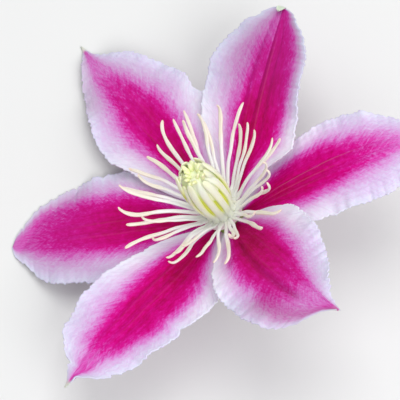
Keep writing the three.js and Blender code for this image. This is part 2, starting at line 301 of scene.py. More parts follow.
class Board:
    """The node board of one material."""

    def __init__(self, name: str) -> None:
        """Make a material of that name with a Principled shader."""
        self.material = bpy.data.materials.new(name)
        self.material.use_nodes = True
        self.tree = self.material.node_tree
        self.shader = self.tree.nodes["Principled BSDF"]

    def node(self, kind: str, settings: dict, inputs: dict, output: int | str = 0) -> Value:
        """Add a node.

        Args:
            kind: The node's type.
            settings: Its properties; a ramp's stops are pairs of a place and a colour.
            inputs: Numbers, colours or Values by socket name or number.
            output: The socket to return.

        Returns:
            The chosen output.
        """
        made = self.tree.nodes.new(kind)
        for key, setting in settings.items():
            if key == "stops":
                self._set_stops(made.color_ramp, setting)
            else:
                setattr(made, key, setting)
        for key, value in inputs.items():
            self.feed(made.inputs[key], value)
        return Value(self, made.outputs[output])

    @staticmethod
    def _set_stops(ramp: bpy.types.ColorRamp, stops: tuple) -> None:
        """Give a colour ramp its stops.

        Args:
            ramp: The ramp.
            stops: Pairs of a place and a colour.
        """
        while len(ramp.elements) < len(stops):
            ramp.elements.new(1.0)
        for element, (place, colour) in zip(ramp.elements, stops):
            element.position = place
            element.color = (*colour, 1.0)

    def feed(self, socket: bpy.types.NodeSocket, value: object) -> None:
        """Link a Value to an input socket, or set it to a number, vector or colour."""
        if isinstance(value, Value):
            self.tree.links.new(value.socket, socket)
        else:
            socket.default_value = (*value, 1.0) if socket.type == "RGBA" else value

    def set(self, **values: object) -> None:
        """Link or set the shader's sockets, named with _ for a space."""
        for name, value in values.items():
            self.feed(self.shader.inputs[name.replace("_", " ")], value)

    def carried(self, *names: str) -> list[Value]:
        """Read numbers that the mesh carries at each point."""
        kind = "ShaderNodeAttribute"
        return [self.node(kind, {"attribute_name": name}, {}, "Fac") for name in names]

    def noise(
        self, where: object, detail: float = 2.0, roughness: float = 0.5, scale: float = 1.0
    ) -> Value:
        """Add a noise texture.

        Args:
            where: The place at which it is read, as one Value or as three.
            detail: Number of finer layers.
            roughness: Strength of the finer layers.
            scale: Its scale.

        Returns:
            Its value, about 0.5 on average.
        """
        if isinstance(where, tuple):
            where = self.node("ShaderNodeCombineXYZ", {}, dict(enumerate(where)))
        inputs = {"Vector": where, "Scale": scale, "Detail": detail, "Roughness": roughness}
        return self.node("ShaderNodeTexNoise", {}, inputs)

    def ramp(self, value: Value, stops: tuple) -> Value:
        """Turn a value into a colour by a ramp of stops."""
        return self.node("ShaderNodeValToRGB", {"stops": stops}, {"Fac": value})

    def layers(self, colour: object, *coats: tuple[object, object]) -> Value:
        """Lay coats of colour over each other.

        Args:
            colour: The colour underneath.
            coats: Share and colour of each coat, from the lowest up.

        Returns:
            The mixed colour.
        """
        for share, coat in coats:
            inputs = {"Factor": share, 6: colour, 7: coat}
            colour = self.node("ShaderNodeMix", {"data_type": "RGBA"}, inputs, 2)
        return colour

    def finish(
        self, surface: Surface, colour: Value, grain: Value, height: Value
    ) -> bpy.types.Material:
        """Feed the shader.

        Args:
            surface: How the surface takes light.
            colour: Its colour.
            grain: Noise that its roughness follows.
            height: Height map of its bump, 0 to 1.

        Returns:
            The material.
        """
        bump = {"Height": height, "Strength": surface.bump, "Distance": surface.bump_height}
        self.set(
            Base_Color=colour,
            Roughness=surface.roughness + grain.swing(surface.uneven),
            Specular_IOR_Level=surface.specular,
            Sheen_Weight=surface.sheen,
            Sheen_Roughness=surface.sheen_roughness,
            Subsurface_Weight=surface.scatter,
            Subsurface_Scale=surface.scatter_depth,
            Subsurface_Radius=surface.scatter_radius,
            Normal=self.node("ShaderNodeBump", {}, bump),
        )
        return self.material


class SepalBoard(Board):
    """A board that knows where on a sepal a point lies, in shares and in millimetres."""

    VEIN_SLANT = 0.9

    def __init__(self, name: str, sepal: "Sepal") -> None:
        """Start the board.

        Args:
            name: The material's name.
            sepal: The sepal that it is for.
        """
        super().__init__(name)
        self.pale, self.tip = self.carried("pale", "tip")
        self.across, self.along = self.carried("across", "along")
        self.side, self.up = self.across * sepal.widest(), self.along * sepal.length
        self.out = self.side.size()
        # Side veins leave the middle obliquely and run out to the margin.
        self.fan = self.up - self.out * self.VEIN_SLANT


def tone(red: int, green: int, blue: int) -> Colour:
    """Turn a screen colour of 0 to 255 into the linear colour that shaders use."""
    parts = [c / 255 for c in (red, green, blue)]
    return tuple(c / 12.92 if c <= 0.04045 else ((c + 0.055) / 1.055) ** 2.4 for c in parts)


# ---------------------------------------------------------------- finishes


@dataclass(frozen=True)
class PetalFinish:
    """Upper face of a sepal: a cerise bar that feathers out into pale lilac margins."""

    bar_to_margin: tuple = (
        (0.0, tone(173, 0, 78)),
        (0.1, tone(187, 0, 100)),
        (0.22, tone(202, 0, 123)),
        (0.34, tone(210, 22, 145)),
        (0.45, tone(215, 74, 177)),
        (0.57, tone(217, 124, 202)),
        (0.7, tone(218, 165, 219)),
        (0.84, tone(219, 196, 231)),
        (1.0, tone(223, 220, 241)),
    )
    # Painted shade for the troughs between the feathered ridges of the margins.
    trough_shade: Colour = tone(196, 186, 220)
    # Painted shade laid along creases and over shaded margins and tips.
    crease: Colour = tone(140, 20, 70)
    # Painted shade: a duller, darker tone laid over the sepal towards its tip.
    tip_shade_tone: Colour = tone(140, 34, 108)
    tip_shade_margin: Colour = tone(184, 186, 204)
    # Painted light for the margins near the centre of the flower.
    white: Colour = tone(250, 249, 255)
    vein: Colour = tone(204, 98, 132)
    tip: Colour = tone(208, 216, 198)
    seed_step: float = 3.7
    surface: Surface = Surface(
        roughness=0.6, specular=0.045, scatter=0.1, scatter_depth=0.001,
        scatter_radius=(1.0, 0.45, 0.7), sheen=0.02, bump=0.6,
    )

    def make(self, sepal: "Sepal") -> bpy.types.Material:
        """Build the material.

        Args:
            sepal: The sepal that it is for.

        Returns:
            The material.
        """
        b = SepalBoard(sepal.name + "_face", sepal)
        pale, along, side, up, out, fan = b.pale, b.along, b.side, b.up, b.out, b.fan
        seed = sepal.seed * self.seed_step
        drift = side * 0.02 + seed
        feather = b.noise((fan * 1.3, out * 0.2, drift), 3.0, 0.55)
        fine = b.noise((fan * 3.6, out * 0.6, drift + 7.0), 2.0, 0.6)
        grain = b.noise((side * 2.0, up * 0.16, seed + 3.0), 3.0, 0.55)
        cloud = b.noise((side * 0.16, up * 0.12, seed + 11.0))
        speckle = b.noise((side * 2.4, up * 1.5, seed + 5.0), 2.0, 0.6)
        mottle = b.noise((side * 0.9, up * 0.6, seed + 9.0), 3.0, 0.6)
        edge = pale.eased(0.12, 0.4) * (1.0 - pale.eased(0.6, 1.0) * 0.55)
        inside = pale.fading(0.22, 0.5)
        tint = (
            pale
            + feather.swing(edge * 0.3)
            + grain.swing(inside * 0.12 + 0.16)
            + speckle.swing(edge * 0.2 + 0.1)
            + fine.swing(edge * 0.19)
            + cloud.swing(0.16)
            + mottle.swing(inside * 0.3 + 0.13)
            + speckle.eased(0.52, 0.72) * inside * 0.05
        )
        wander = b.across + cloud.swing(0.03)
        veins = []
        for place, end, strength in sepal.veins:
            line = (wander - place).size().fading(0.006, 0.02)
            reach = along.eased(0.06, 0.2) * along.fading(end - 0.25, end)
            veins.append((line * reach * strength, self.vein))
        colour = b.layers(
            b.ramp(tint, self.bar_to_margin),
            # Painted light whitens the margins near the centre of the flower.
            (pale.eased(0.55, 0.9) * along.fading(0.34, 0.58) * 0.5, self.white),
            # Painted shade, darker towards the tip, strongest on sepals that lean away from the
            # light.
            (
                along.eased(0.3, 0.75) * sepal.tip_shade,
                b.layers(self.tip_shade_tone, (pale.eased(0.75, 1.0), self.tip_shade_margin)),
            ),
            # Painted shade in the troughs between the feathered ridges of the margins.
            (feather.fading(0.3, 0.52) * pale.eased(0.6, 0.95) * 0.3, self.trough_shade),
            *veins,
            (b.tip * 0.9, self.tip),
            # Painted shade along the creases and over shaded margins and tips.
            (b.carried("crease")[0], self.crease),
        )
        height = feather * 0.5 * pale.eased(0.25, 0.6) + fine * 0.3 + grain * 0.35
        return b.finish(self.surface, colour, fine, height + speckle * 0.25)


@dataclass(frozen=True)
class PetalBackFinish:
    """Underside of a sepal: pale mauve, with green-tinged ribs and silky down."""

    base: Colour = tone(198, 176, 206)
    bar: Colour = tone(186, 120, 172)
    feather: Colour = tone(214, 200, 222)
    rib: Colour = tone(176, 182, 140)
    root: Colour = tone(150, 170, 96)
    down: Colour = tone(226, 220, 228)
    tip: Colour = tone(214, 226, 204)
    rib_place: float = 0.13
    seed_step: float = 5.1
    surface: Surface = Surface(
        roughness=0.62, specular=0.3, scatter=0.12, scatter_depth=0.0012,
        scatter_radius=(1.0, 0.5, 0.7), sheen=0.35, sheen_roughness=0.4, bump=0.6,
    )

    def make(self, sepal: "Sepal") -> bpy.types.Material:
        """Build the material.

        Args:
            sepal: The sepal that it is for.

        Returns:
            The material.
        """
        b = SepalBoard(sepal.name + "_back", sepal)
        seed, out = sepal.seed * self.seed_step, b.across.size()
        feather = b.noise((b.fan * 1.4, b.out * 0.2, seed), 3.0, 0.6)
        down = b.noise((b.side * 5.0, b.up * 0.9, seed + 2.0), 2.0, 0.6)
        ribs = (out - self.rib_place).size().fading(0.02, 0.09)
        green = (ribs * 0.5 + out.fading(0.02, 0.07) * 0.8) * b.along.fading(0.75, 1.0)
        colour = b.layers(
            self.base,
            (b.pale.fading(0.1, 0.9), self.bar),
            (feather.eased(0.45, 0.7) * 0.4, self.feather),
            (green, self.rib),
            (b.along.fading(0.0, 0.2) * 0.7, self.root),
            (down.eased(0.56, 0.75) * 0.3, self.down),
            (b.tip, self.tip),
        )
        return b.finish(self.surface, colour, down, feather * 0.6 + down * 0.4)


@dataclass(frozen=True)
class StamenFinish:
    """Stamens: white filaments that turn cream along the anther, with a faintly pink tip."""

    root: Colour = tone(240, 240, 228)
    filament: Colour = tone(243, 243, 245)
    anther: Colour = tone(242, 236, 222)
    tip: Colour = tone(246, 222, 200)
    warm: Colour = tone(240, 228, 196)
    grain: Colour = tone(208, 206, 178)
    groove: Colour = tone(216, 202, 160)
    surface: Surface = Surface(
        roughness=0.48, specular=0.35, scatter=0.3, scatter_depth=0.0012,
        scatter_radius=(1.0, 0.95, 0.8), bump_height=0.00015,
    )

    def make(self, name: str) -> bpy.types.Material:
        """Build the material.

        Args:
            name: The material's name.

        Returns:
            The material.
        """
        b = Board(name)
        along, across, own = b.carried("along", "across", "own")
        grain = b.noise((across * 1.6, along * 9.0, own * 40.0), 2.0, 0.6)
        mottle = b.noise((across * 0.5, along * 5.0, own * 40.0 + 9.0))
        colours = (self.root, self.filament, self.filament, self.anther, self.anther, self.tip)
        stops = tuple(zip((0.0, 0.16, 0.5, 0.66, 0.94, 1.0), colours))
        groove = across.size().fading(0.04, 0.3) * along.eased(0.5, 0.62)
        colour = b.layers(
            b.ramp(along + mottle.swing(0.1), stops),
            (own * 0.18 * along.eased(0.3, 0.7), self.warm),
            (grain.fading(0.3, 0.46) * 0.2, self.grain),
            (groove * 0.22, self.groove),
        )
        return b.finish(self.surface, colour, grain, grain * 0.5 + (1.0 - groove) * 0.5)


@dataclass(frozen=True)
class BossFinish:
    """The closed inner stamens: cream straps with yellow-green edges towards each other."""

    root: Colour = tone(241, 242, 226)
    cream: Colour = tone(240, 246, 219)
    edge: Colour = tone(230, 234, 124)
    inner: Colour = tone(222, 236, 60)
    tip: Colour = tone(236, 234, 176)
    surface: Surface = Surface(
        roughness=0.5, specular=0.35, scatter=0.3, scatter_depth=0.0012,
        scatter_radius=(1.0, 1.0, 0.6),
    )

    def make(self, name: str) -> bpy.types.Material:
        """Build the material.

        Args:
            name: The material's name.

        Returns:
            The material.
        """
        b = Board(name)
        along, across, own, inner = b.carried("along", "across", "own", "inner")
        grain = b.noise((across * 2.2, along * 7.0, own * 40.0), 3.0, 0.6)
        belt = along.eased(0.1, 0.32) * along.fading(0.62, 0.9)
        edges = across.size().eased(0.45, 0.95) * 0.5 + grain.fading(0.3, 0.5) * 0.25
        colour = b.layers(
            b.ramp(along, ((0.0, self.root), (0.25, self.cream), (1.0, self.cream))),
            (edges * belt, self.edge),
            (inner * belt * 0.95, self.inner),
            (along.eased(0.8, 1.0) * 0.4, self.tip),
        )
        return b.finish(self.surface, colour, grain, grain)


@dataclass(frozen=True)
class GreenFinish:
    """Soft green tissue, streaked lengthways: stalk, receptacle, core or styles."""

    light: Colour
    dark: Colour
    flush: Colour
    flush_share: float = 0.3
    roughness: float = 0.5
    top: Colour = tone(248, 252, 222)
    top_share: float = 0.0

    def make(self, name: str) -> bpy.types.Material:
        """Build the material.

        Args:
            name: The material's name.

        Returns:
            The material.
        """
        b = Board(name)
        along, across = b.carried("along", "across")
        streak = b.noise((across * 7.0, along * 4.0, 2.0), 3.0, 0.6)
        patch = b.noise((across * 1.5, along * 8.0, 6.0))
        colour = b.layers(
            self.dark,
            (streak.eased(0.35, 0.65), self.light),
            (patch.eased(0.5, 0.72) * self.flush_share, self.flush),
            (along.eased(0.62, 0.76) * self.top_share, self.top),
        )
        surface = Surface(self.roughness, specular=0.35, scatter=0.08, scatter_depth=0.0008)
        return b.finish(surface, colour, patch, streak)


class Green(Enum):
    """The green finishes of this flower."""

    STALK = GreenFinish(tone(150, 170, 84), tone(84, 110, 44), tone(128, 104, 70), roughness=0.55)
    CORE = GreenFinish(tone(238, 240, 116), tone(216, 226, 70), tone(240, 236, 150), top_share=0.9)
    STYLE = GreenFinish(tone(248, 250, 208), tone(234, 240, 168), tone(248, 242, 190))
    DOWN = GreenFinish(
        tone(226, 230, 214), tone(200, 206, 186), tone(214, 210, 196),
        flush_share=0.2, roughness=0.4,
    )


# ---------------------------------------------------------------- modelling


def start_clean() -> None:
    """Deselect everything before an operator works on a new piece."""
    bpy.ops.object.select_all(action="DESELECT")


def add(name: str, data: bpy.types.ID) -> Piece:
    """Put a new object with the given data into the scene, at the origin."""
    made = bpy.data.objects.new(name, data)
    bpy.context.scene.collection.objects.link(made)
    return made


def remove(piece: Piece) -> None:
    """Delete a pattern piece by its mesh, which takes the object with it."""
    bpy.data.meshes.remove(piece.data)


def points_of(piece: Piece) -> Array:
    """Return the piece's points as rows."""
    flat = np.empty(len(piece.data.vertices) * 3)
    piece.data.vertices.foreach_get("co", flat)
    return flat.reshape(-1, 3)


def move_points(piece: Piece, points: Array) -> None:
    """Put the piece's points in new places."""
    piece.data.vertices.foreach_set("co", np.asarray(points, float).ravel())
    piece.data.update()


def carry(piece: Piece, **numbers: float | Array) -> None:
    """Store numbers at the points of the piece for its material.

    Args:
        piece: The piece.
        numbers: By name, one number for each point or the same for all.
    """
    for name, values in numbers.items():
        layer = piece.data.attributes.new(name, "FLOAT", "POINT")
        layer.data.foreach_set("value", np.full(len(piece.data.vertices), values, np.float32))


def loft(name: str, sides: int, stations: Rows) -> Piece:
    """Model a closed rod by extruding a disc from station to station.

    Args:
        name: Name of the piece.
        sides: Number of sides.
        stations: Height, width and thickness at each station, from the root to the tip.

    Returns:
        The rod, standing on the origin.
    """
    start_clean()
    height, width, thickness = stations[0]
    bpy.ops.mesh.primitive_circle_add(
        vertices=sides, radius=0.5, fill_type="NGON", location=(0, 0, 0)
    )
    piece = bpy.context.object
    piece.name = name
    bpy.ops.object.mode_set(mode="EDIT")
    bpy.ops.mesh.select_all(action="SELECT")
    bpy.ops.transform.resize(value=(width, thickness, 1), center_override=(0, 0, 0))
    bpy.ops.transform.translate(value=(0, 0, height))
    for next_height, next_width, next_thickness in stations[1:]:
        rise = (0, 0, next_height - height)
        bpy.ops.mesh.extrude_region_move(TRANSFORM_OT_translate={"value": rise})
        factor = (next_width / width, next_thickness / thickness, 1)
        bpy.ops.transform.resize(value=factor, center_override=(0, 0, next_height))
        height, width, thickness = next_height, next_width, next_thickness
    bpy.ops.mesh.select_all(action="SELECT")
    bpy.ops.mesh.normals_make_consistent(inside=False)
    bpy.ops.object.mode_set(mode="OBJECT")
    return piece


def round_loft(name: str, sides: int, rings: Rows) -> Piece:
    """Model a closed round rod from the height and radius of its rings."""
    return loft(name, sides, tuple((height, 2 * r, 2 * r) for height, r in rings))


def join(name: str, pieces: list[Piece]) -> Piece:
    """Join pieces into one object at the origin.

    Args:
        name: Name of the joined piece.
        pieces: The pieces; their materials are kept.

    Returns:
        The joined piece.
    """
    start_clean()
    for piece in pieces:
        piece.select_set(True)
    bpy.context.view_layer.objects.active = pieces[0]
    bpy.ops.object.join()
    joined = bpy.context.object
    joined.name = joined.data.name = name
    return joined


def along_spine(points: Array, spine: Array, side: Array) -> Array:
    """Bend a straight rod onto a curved spine.

    Args:
        points: Points of the rod; z from 0 to 1 runs along it, x and y are its section.
        spine: Points of the spine, evenly spaced.
        side: Direction that the rod's x axis takes.

    Returns:
        The bent points.
    """
    places, t, step = np.arange(len(spine)), points[:, 2] * (len(spine) - 1), 0.02
    middle, ahead, behind = (smooth_line(places, spine, t + k) for k in (0, step, -step))
    forward = unit(ahead - behind)
    face = unit(np.cross(forward, side))
    across = np.cross(face, forward)
    return middle + across * points[:, :1] + face * points[:, 1:2]


def finish_piece(piece: Piece, node: str) -> None:
    """Smooth a finished piece and let it stand for its solid.

    Args:
        piece: The piece.
        node: The solid's node that it replaces.
    """
    piece.data.shade_smooth()
    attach(piece, BODY)
    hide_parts(node)
    triangles = sum(len(face.vertices) - 2 for face in piece.data.polygons)
    log.info("%s: %d triangles, stands for %s", piece.name, triangles, node)


# ---------------------------------------------------------------- sepals

STATIONS = (0.08, 0.18, 0.32, 0.48, 0.64, 0.78, 0.88, 0.95)
BAR_STATIONS = (0.0, 0.25, 0.4, 0.55, 0.7, 0.85, 1.0)
FADE_STATIONS = (0.0, 0.4, 0.7, 0.85, 1.0)
# Paleness from the middle of the bar, 0, over its edge, 1, to the margin, 2.
PALE_STATIONS = (0.0, 0.5, 0.75, 1.0, 1.2, 1.4, 1.6, 1.85, 2.0)
PALENESS = (0.0, 0.04, 0.14, 0.34, 0.52, 0.68, 0.78, 0.92, 1.0)
TEETH = ((1.1, 0.1), (1.7, 0.1), (3.3, 0.09), (6.1, 0.1))
TIP_TEETH = ((1.1, 0.04), (1.7, 0.05))
CRINKLES = ((2.1, 0.05), (3.7, 0.1), (6.9, 0.17))


class Side(Enum):
    """The sides of a sepal, seen from above with the tip away from the viewer."""

    LEFT = 0
    RIGHT = 1


@dataclass(frozen=True)
class Nick:
    """A dent in the outline: side, place along, and depth and half length in millimetres."""

    side: Side
    place: float
    depth: float
    half_length: float


@dataclass(frozen=True)
class Crease:
    """A fold along a sepal with painted shade in it, or only painted shade where its depth is 0.

    place and width are shares of the half width, begin and end shares of the length. depth
    is in millimetres, and dark is the share of the painted shade tone.
    """

    place: float
    width: float
    depth: float
    begin: float
    end: float
    dark: float

    def share(self, along: Array, across: Array) -> Array:
        """Return 1 in the middle of the crease, falling to 0 beside it and past its ends."""
        line = np.exp(-(((across - self.place) / self.width) ** 2))
        return line * window(along, (self.begin, self.begin + 0.12), (self.end - 0.1, self.end))


@dataclass
class Sepal:
    """One sepal. Lengths in millimetres, angles in degrees.

    Layers are counted from the lowest sepals up. rise is the midrib's mean slope and arch
    its change to each end; sweep carries the tip sideways. left and right are the half
    widths at STATIONS. roll lifts the two margins, which wave as often as waves says.

    bar_left and bar_right say how far the cerise bar reaches to each side at BAR_STATIONS,
    as a share of the half width, fade how pale its middle is at FADE_STATIONS, from 0 to 1,
    step how much paler painted light makes the half left of the midrib, which faces the light,
    and tip_shade how much painted shade darkens the sepal towards the tip.
    veins are thin light lines: place across, end along and strength. A blunt sepal closes
    over the share blunt of its length, and may carry a narrow point beyond it, curled back
    by point_curl.
    """

    name: str
    layer: int
    towards: float
    length: float
    rise: float
    arch: float
    sweep: float
    left: Row
    right: Row
    roll: tuple[float, float]
    waves: float
    wave_height: float
    phase: float
    bar_left: Row
    bar_right: Row
    fade: Row
    seed: int
    nicks: tuple[Nick, ...] = ()
    creases: tuple[Crease, ...] = ()
    veins: Rows = ((-0.12, 0.8, 0.06), (0.12, 0.8, 0.06))
    step: float = 0.0
    tip_half_width: float = 0.12
    blunt: float = 0.0
    point_length: float = 0.0
    point_half_width: float = 1.05
    point_curl: float = 0.0
    # Share of painted shade towards the tip.
    tip_shade: float = 0.0
    green_tip: float = 1.0
    start_radius: float = 4.6
    attach_radius: float = 4.0
    first_layer: float = 1.6
    layer_height: float = 1.15
    base_half_width: float = 2.0
    least_half_width: float = 0.1
    rib_depth: float = 0.3
    rib_gap: float = 0.22
    vein_depth: float = 0.035
    veins_a_side: float = 7.0
    thickness: float = 0.6
    thinner_margin: float = 0.45
    thinner_tip: float = 0.3
    rows: int = 200
    columns: int = 76

    def widest(self) -> float:
        """Return the sepal's largest half width."""
        return max(*self.left, *self.right)

    def midrib(self, along: Array) -> tuple[Array, Array]:
        """Follow the midrib.

        Args:
            along: Places from 0 at the base to 1 at the tip, and a little beyond.

        Returns:
            Radius and height at those places.
        """
        fineness, beyond = 800, 1.1
        steps = np.linspace(0, beyond, round(beyond * fineness) + 1)
        curl = self.point_curl * smoothstep(steps, 0.985, 1.02)
        slope = np.radians(self.rise + self.arch * (1 - 2 * steps) + curl)[:-1]
        stride = self.length / fineness
        radius = self.start_radius + running(np.cos(slope)) * stride
        radius -= (self.start_radius - self.attach_radius) * (1 - smoothstep(steps, 0, 0.08))
        height = self.first_layer + self.layer_height * self.layer + running(np.sin(slope)) * stride
        return np.interp(along, steps, radius), np.interp(along, steps, height)

    def half_width(self, along: Array, across: Array) -> Array:
        """Give the distance from the midrib to the margin, teeth and nicks included.

        Args:
            along: Places along the sepal.
            across: Places across it; only the sign is read.

        Returns:
            Half widths on the side that across points to.
        """
        distance = along * self.length
        smooth_from = 0.95 if self.blunt else 0.91
        toothed = window(along, (0.12, 0.3), (smooth_from, smooth_from + 0.06))
        widths = []
        for side, line in ((Side.LEFT, self.left), (Side.RIGHT, self.right)):
            full = (self.base_half_width, *line, self.tip_half_width)
            width = smooth_through((0.0, *STATIONS, 1.0), full, along)
            seed = self.seed * 2 + side.value
            # The finest teeth grow deeper towards the tip.
            deeper = smoothstep(along, 0.55, 0.8) * ripple(distance, TIP_TEETH, seed)
            width = width + toothed * (ripple(distance, TEETH, seed) + deeper)
            if self.blunt:
                width = width * round_end((along - 1) / self.blunt + 1, left_over=0.002)
            if self.point_length:
                end = round_end((distance - self.length) / self.point_length, left_over=0.01)
                width = np.maximum(width, self.point_half_width * end)
            for nick in self.nicks:
                if nick.side is side:
                    away = (along - nick.place) * self.length / nick.half_length
                    width = width - nick.depth * np.exp(-(away**2))
            widths.append(np.maximum(width, self.least_half_width))
        return np.where(across > 0, *widths)

    def relief(self, along: Array, across: Array) -> Array:
        """Give the height of waves, rolled margins, ribs, crinkles, veins and creases.

        Args:
            along: Places along the sepal.
            across: Places across it, from -1 to 1.

        Returns:
            Heights above the plain bowl.
        """
        out, on_left = np.abs(across), across > 0
        along = np.minimum(along, 1.0)
        free = smoothstep(along, 0.3, 0.65)
        swell = np.sin(math.pi * along**0.8)
        # The two margins wave out of step.
        turns = self.waves * along + self.phase + np.where(on_left, 0, 0.37)
        wave = self.wave_height * out**3 * free * np.sin(FULL_TURN * turns)
        roll = np.where(on_left, *self.roll) * 2 * out**2 * swell * free
        groove = np.cos(FULL_TURN * np.minimum(out / self.rib_gap, 1.5))
        ribs = -self.rib_depth / 2 * groove * (1 - smoothstep(out, self.rib_gap, 0.4)) * swell
        seeds = (self.seed * 2 + 50, self.seed * 2 + 51)
        crinkle = np.where(on_left, *(ripple(along * self.length, CRINKLES, s) for s in seeds))
        crinkle *= smoothstep(out, 0.55, 1.0) * window(along, (0.2, 0.45), (0.92, 1.0))
        veins = np.cos(FULL_TURN * out * self.veins_a_side) * smoothstep(out, 0.2, 0.4) * swell
        folds = sum(crease.depth * crease.share(along, across) for crease in self.creases)
        return wave + roll + ribs + crinkle + self.vein_depth * veins - folds

    def sheet(self, along: Array, across: Array) -> Array:
        """Give points of the sepal's middle surface in the flower's frame.

        Args:
            along: Places along the sepal.
            across: Places across it.

        Returns:
            One row for each point.
        """
        radius, height = self.midrib(along)
        shift = self.sweep * np.minimum(along, 1.0) ** 2
        sideways = shift + self.half_width(along, across) * across
        plain = np.radians(self.rise + self.arch * (1 - 2 * np.minimum(along, 1.0)))
        bowl = np.tan(plain) * (np.hypot(radius, sideways) - np.hypot(radius, shift))
        z = height + bowl + self.relief(along, across)
        axes = np.array([level(self.towards), level(self.towards + 90), UP])
        return np.stack([radius, sideways, z], 1) @ axes

    def paleness(self, along: Array, across: Array) -> Array:
        """Say how pale each point is.

        Args:
            along: Places along the sepal.
            across: Places across it.

        Returns:
            0 in the deepest cerise and 1 at the palest margin.
        """
        bars = (smooth_through(BAR_STATIONS, bar, along) for bar in (self.bar_left, self.bar_right))
        edge, out = np.where(across > 0, *bars), np.abs(across)
        reach = np.where(out < edge, out / edge, 1 + (out - edge) / (1 - edge))
        middle = smooth_through(FADE_STATIONS, self.fade, along)
        # Painted light: the half left of the midrib, which faces the light, is paler.
        middle += self.step * smoothstep(across, -0.045, -0.015) * smoothstep(along, 0.4, 0.6)
        return middle + (1 - middle) * smooth_through(PALE_STATIONS, PALENESS, reach)

    def tip_share(self, along: Array) -> Array:
        """Say how much a point belongs to the whitish green tip, from 0 to 1."""
        if self.point_length:
            return smoothstep(along, 0.995, 1.015)
        return (0.0 if self.blunt else self.green_tip) * smoothstep(along, 0.955, 0.985)

    def build(self, pose: Pose) -> Piece:
        """Model the sepal as a grid that is shaped and given its thickness.

        Args:
            pose: How the flower lies.

        Returns:
            The dressed sepal.
        """
        start_clean()
        bpy.ops.mesh.primitive_grid_add(
            x_subdivisions=self.columns, y_subdivisions=self.rows, size=2, location=(0, 0, 0)
        )
        piece = bpy.context.object
        piece.name = piece.data.name = self.name + "_petal"
        flat = points_of(piece)
        across, along = -flat[:, 0], (flat[:, 1] + 1) / 2
        # Lines are closer together towards the margins, where the teeth are, and the tip.
        across = np.sign(across) * np.abs(across) ** 0.9
        along = (1 - (1 - along) ** 1.2) * (1 + self.point_length / self.length)
        move_points(piece, pose.to_room(self.sheet(along, across), clear=self.thickness / 2))
        # Painted shade along the creases, and over margins and tips where a crease has no depth.
        crease_shade = np.zeros_like(along)
        for crease in self.creases:
            crease_shade = np.maximum(crease_shade, crease.dark * crease.share(along, across))
        pale = self.paleness(np.minimum(along, 1.0), across)
        carry(piece, across=across, along=along, pale=pale, crease=crease_shade)
        carry(piece, tip=self.tip_share(along))
        # The wall, made last, gives its lower faces the second material.
        for finish in (PetalFinish(), PetalBackFinish()):
            piece.data.materials.append(finish.make(self))
        thinner = self.thinner_margin * smoothstep(np.abs(across), 0.3, 1.0)
        thinner += self.thinner_tip * smoothstep(along, 0.9, 1.0)
        self.thicken(piece, np.round(1 - thinner, 2))
        return piece

    def thicken(self, piece: Piece, shares: Array) -> None:
        """Turn the sheet into a closed wall.

        Args:
            piece: The sheet, which is the active object.
            shares: Share of the full thickness at each point.
        """
        group = piece.vertex_groups.new(name="thick")
        for share in np.unique(shares):
            group.add(np.nonzero(shares == share)[0].tolist(), float(share), "REPLACE")
        wall = piece.modifiers.new("wall", "SOLIDIFY")
        wall.thickness = self.thickness * MM
        wall.offset = 0
        wall.vertex_group = group.name
        wall.use_quality_normals = True
        wall.material_offset = 1
        bpy.ops.object.modifier_apply(modifier=wall.name)
        piece.vertex_groups.clear()


